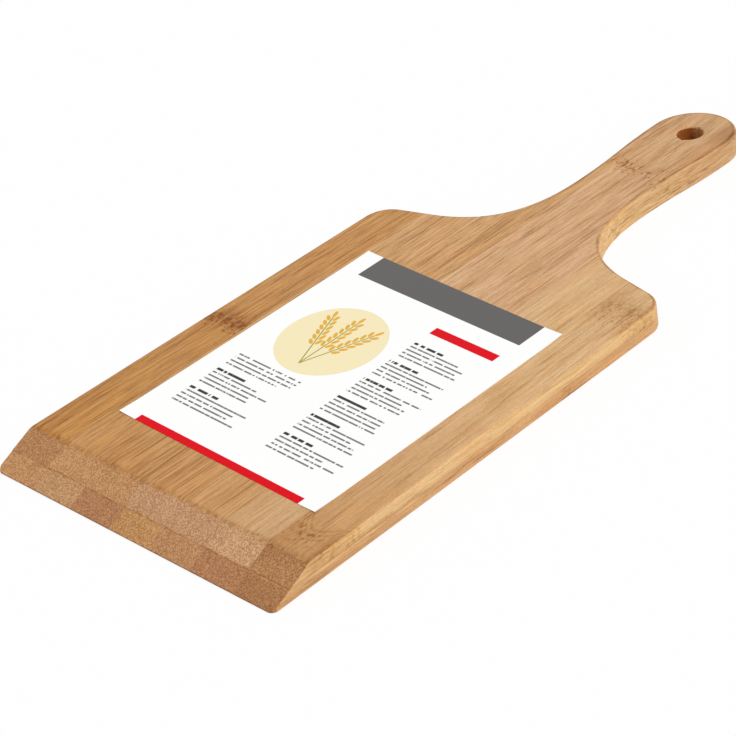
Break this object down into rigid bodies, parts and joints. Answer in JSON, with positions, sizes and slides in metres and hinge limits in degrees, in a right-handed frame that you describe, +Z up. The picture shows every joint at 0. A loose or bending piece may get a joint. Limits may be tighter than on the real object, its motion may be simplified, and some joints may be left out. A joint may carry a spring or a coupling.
{
  "type": "spaetzle board",
  "caption": "Bamboo spaetzle board: a flat paddle of glued strips with a bevelled scraping edge, a narrow handle with a hanging hole, and a plain paper label.",
  "frame": {"origin": "middle of the underside's outline box, so the board lies on z = 0", "axes": "+Z up out of the working face, +Y along the board from the bevelled front edge to the grip, +X to the right seen from above with the grip away"},
  "size_m": [0.15, 0.34, 0.0105],
  "materials": {
    "bamboo_pale": "sanded, unvarnished",
    "bamboo_warm": "sanded, unvarnished",
    "bamboo_brown": "sanded, unvarnished",
    "label_paper": "smooth printed paper"
  },
  "bodies": {
    "root": {"lower_strip_1": "bamboo_pale", "lower_strip_2": "bamboo_warm", "lower_strip_3": "bamboo_brown", "lower_strip_4": "bamboo_warm", "lower_strip_5": "bamboo_brown", "lower_strip_6": "bamboo_warm", "lower_strip_7": "bamboo_warm", "upper_strip_1": "bamboo_brown", "upper_strip_2": "bamboo_warm", "upper_strip_3": "bamboo_pale", "upper_strip_4": "bamboo_pale", "upper_strip_5": "bamboo_warm", "upper_strip_6": "bamboo_pale", "upper_strip_7": "bamboo_warm", "label_sheet": "label_paper"}
  },
  "joints": []
}
